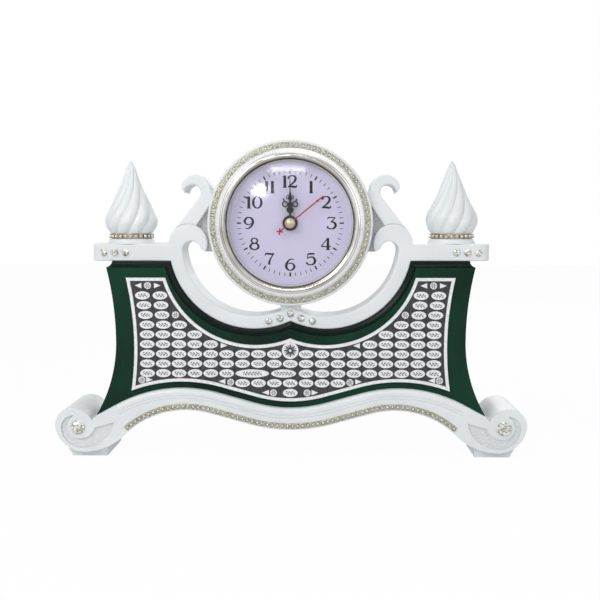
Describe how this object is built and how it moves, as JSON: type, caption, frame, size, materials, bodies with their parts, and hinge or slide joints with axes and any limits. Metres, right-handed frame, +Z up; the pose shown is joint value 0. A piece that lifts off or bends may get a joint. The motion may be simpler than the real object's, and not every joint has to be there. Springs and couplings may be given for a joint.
{
  "type": "mantel clock",
  "caption": "Low wide mantel clock: scroll frame and feet, dark slab with relief plaque, twisted finials, crystal trim, pull-out quartz insert.",
  "frame": {"origin": "on the surface the clock stands on, in the middle of its width and depth", "axes": "+X to the right seen from the front, +Y towards the back, +Z up; the front faces -Y"},
  "size_m": [0.335, 0.064, 0.2247],
  "materials": {
    "white_resin": "satin white paint on cast resin",
    "web_resin": "rough, unpolished white resin",
    "green_lacquer": "deep glossy dark green lacquer",
    "plaque_field": "dark gunmetal, finely hatched",
    "plaque_silver": "silver-white paint",
    "stud_silver": "silver paint, small rosettes",
    "chain_metal": "bright plated cups, slightly warm",
    "crystal": "cut glass with a foiled back",
    "dowel_wood": "plain beech",
    "bezel_chrome": "polished, ribbed outer band",
    "lens_glass": "clear domed lens",
    "dial_paint": "pale lavender print ground",
    "cup_plastic": "white moulded plastic",
    "rubber_band": "soft rubber",
    "movement_plastic": "fine-grained black plastic",
    "plate_plastic": "black plastic",
    "gear_plastic": "natural white plastic",
    "turned_brass": "turned",
    "spring_steel": "nickel plated spring strip",
    "motor_steel": "bare soft iron sheet",
    "magnet": "dark sintered magnet",
    "copper_wire": "wound enamelled copper wire",
    "board_green": "solder mask",
    "can_metal": "drawn can",
    "cell_sleeve": "plain printed sleeve, bare ends",
    "black_hand": "gloss black",
    "crimson_hand": "gloss crimson",
    "gold_cap": "pale polished gold"
  },
  "bodies": {
    "case": {"base_rail": "white_resin", "right_foot": "white_resin", "left_foot": "white_resin", "right_scroll_arm": "white_resin", "left_scroll_arm": "white_resin", "right_crest_scroll": "white_resin", "left_crest_scroll": "white_resin", "clock_housing": "white_resin", "left_finial": "white_resin", "right_finial": "white_resin", "right_web_plate": "web_resin", "left_web_plate": "web_resin", "green_block": "green_lacquer", "plaque_plate": "plaque_field", "plaque_border": "plaque_silver", "plaque_cartouches": "plaque_silver", "plaque_medallion": "plaque_silver", "plaque_studs": "stud_silver", "plaque_arrowheads": "plaque_silver", "base_chain": "chain_metal", "base_crystals": "crystal", "ring_chain": "chain_metal", "ring_crystals": "crystal", "finial_chains": "chain_metal", "finial_crystals": "crystal", "finial_dowels": "dowel_wood", "shelf_crystals": "crystal", "cradle_crystals": "crystal", "foot_crystals": "crystal"},
    "insert": {"bezel": "bezel_chrome", "lens": "lens_glass", "dial": "dial_paint", "insert_cup": "cup_plastic", "fit_ring": "rubber_band", "movement_case": "movement_plastic", "movement_cover": "movement_plastic", "train_plate": "plate_plastic", "threaded_bushing": "turned_brass", "dial_washer": "turned_brass", "dial_nut": "turned_brass", "stator": "motor_steel", "coil": "copper_wire", "circuit_board": "board_green", "quartz_can": "can_metal", "battery_contacts": "spring_steel"},
    "battery": {"battery": "cell_sleeve"},
    "second": {"second_wheel": "gear_plastic", "second_hand": "crimson_hand", "second_hand_cap": "gold_cap"},
    "minute": {"minute_pipe": "gear_plastic", "minute_hand": "black_hand", "clutch_spring": "spring_steel"},
    "hour": {"hour_wheel": "gear_plastic", "hour_hand": "black_hand"},
    "setter": {"setting_wheel": "gear_plastic", "setting_knob": "movement_plastic"},
    "third": {"third_wheel": "gear_plastic"},
    "centre": {"centre_wheel": "gear_plastic"},
    "intermediate": {"intermediate_wheel": "gear_plastic"},
    "rotor": {"rotor": "magnet"}
  },
  "joints": [
    {"name": "insert_pull", "type": "slide", "parent": "case", "child": "insert", "axis": [0, -1, 0], "range_m": [0, 0.045]},
    {"name": "battery_slide", "type": "slide", "parent": "insert", "child": "battery", "axis": [0, 1, 0], "range_m": [0, 0.018]},
    {"name": "second_spin", "type": "hinge", "parent": "insert", "child": "second", "pos_m": [0, -0.01, 0.1664], "axis": [0, 1, 0], "continuous": true},
    {"name": "minute_spin", "type": "hinge", "parent": "insert", "child": "minute", "pos_m": [0, -0.01, 0.1664], "axis": [0, 1, 0], "continuous": true},
    {"name": "hour_spin", "type": "hinge", "parent": "insert", "child": "hour", "pos_m": [0, -0.01, 0.1664], "axis": [0, 1, 0], "continuous": true},
    {"name": "setter_spin", "type": "hinge", "parent": "insert", "child": "setter", "pos_m": [0.01083, -0.01, 0.16449], "axis": [0, 1, 0], "continuous": true},
    {"name": "third_spin", "type": "hinge", "parent": "insert", "child": "third", "pos_m": [-0.00866, -0.01, 0.1714], "axis": [0, 1, 0], "continuous": true},
    {"name": "centre_spin", "type": "hinge", "parent": "insert", "child": "centre", "pos_m": [0, -0.01, 0.1664], "axis": [0, 1, 0], "continuous": true},
    {"name": "intermediate_spin", "type": "hinge", "parent": "insert", "child": "intermediate", "pos_m": [0.00246, -0.01, 0.17317], "axis": [0, 1, 0], "continuous": true},
    {"name": "rotor_spin", "type": "hinge", "parent": "insert", "child": "rotor", "pos_m": [0.00561, -0.01, 0.17863], "axis": [0, 1, 0], "continuous": true}
  ],
  "couplings": [
    {"joint": "third_spin", "follows": "second_spin", "ratio": -0.13333},
    {"joint": "centre_spin", "follows": "second_spin", "ratio": 0.016667},
    {"joint": "intermediate_spin", "follows": "second_spin", "ratio": -5},
    {"joint": "rotor_spin", "follows": "second_spin", "ratio": 30},
    {"joint": "setter_spin", "follows": "minute_spin", "ratio": -0.33333},
    {"joint": "hour_spin", "follows": "minute_spin", "ratio": 0.083333}
  ]
}
